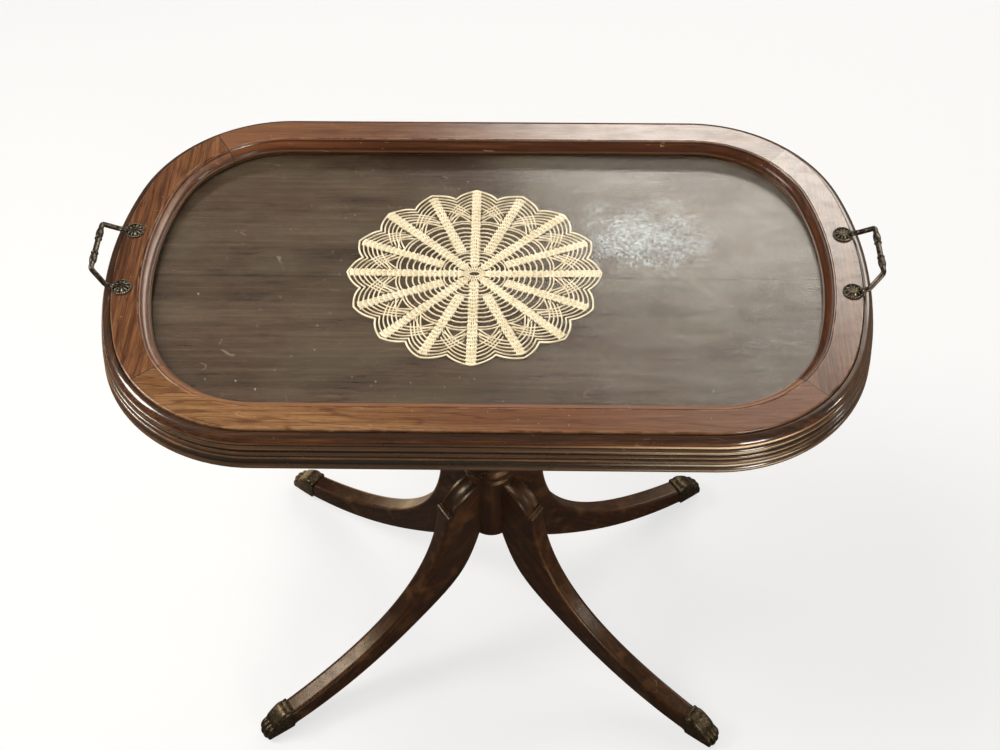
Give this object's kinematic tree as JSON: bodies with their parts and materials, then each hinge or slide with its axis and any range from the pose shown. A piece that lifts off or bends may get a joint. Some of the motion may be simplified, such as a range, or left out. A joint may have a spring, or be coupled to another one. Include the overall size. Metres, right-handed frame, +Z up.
{
  "type": "tray top tea table",
  "caption": "Pedestal tea table with a turned column, sabre legs and cast paw feet; its rounded, moulded top holds a lift-off glass tray with metal handles.",
  "frame": {"origin": "on the floor under the middle of the column", "axes": "+X along the long side of the top, +Y towards the back, +Z up"},
  "size_m": [0.8018, 0.4618, 0.6999],
  "materials": {
    "tray_wood": "satin polished reddish brown mahogany",
    "table_top": "dark polished veneer",
    "moulded_edge": "dark red-brown polish",
    "pedestal_wood": "dark brown polish",
    "handle_brass": "dark antique cast brass",
    "paw_brass": "dark antique cast brass",
    "brass_fixings": "tarnished brass",
    "glass": "clear float glass",
    "crochet_cotton": "ecru crochet cotton"
  },
  "bodies": {
    "table": {"top_board_front": "table_top", "top_board_back": "table_top", "edge_front": "moulded_edge", "edge_back": "moulded_edge", "edge_left": "moulded_edge", "edge_right": "moulded_edge", "top_cleat": "pedestal_wood", "cleat_screws": "brass_fixings", "column": "pedestal_wood", "column_wedge": "pedestal_wood", "leg_front_left": "pedestal_wood", "leg_front_right": "pedestal_wood", "leg_back_left": "pedestal_wood", "leg_back_right": "pedestal_wood", "paw_cap_front_left": "paw_brass", "paw_cap_front_right": "paw_brass", "paw_cap_back_left": "paw_brass", "paw_cap_back_right": "paw_brass", "paw_cap_pins": "brass_fixings", "doily": "crochet_cotton"},
    "tray": {"tray_rail_front": "tray_wood", "tray_rail_back": "tray_wood", "tray_end_left": "tray_wood", "tray_end_right": "tray_wood", "tray_corner_splines": "tray_wood", "glass_pane": "glass", "glass_bead_front": "tray_wood", "glass_bead_back": "tray_wood", "glass_bead_left": "tray_wood", "glass_bead_right": "tray_wood", "handle_left": "handle_brass", "handle_right": "handle_brass", "handle_screws": "brass_fixings"}
  },
  "joints": [
    {"name": "tray_lift", "type": "slide", "parent": "table", "child": "tray", "axis": [0, 0, 1], "range_m": [0, 0.15]}
  ]
}
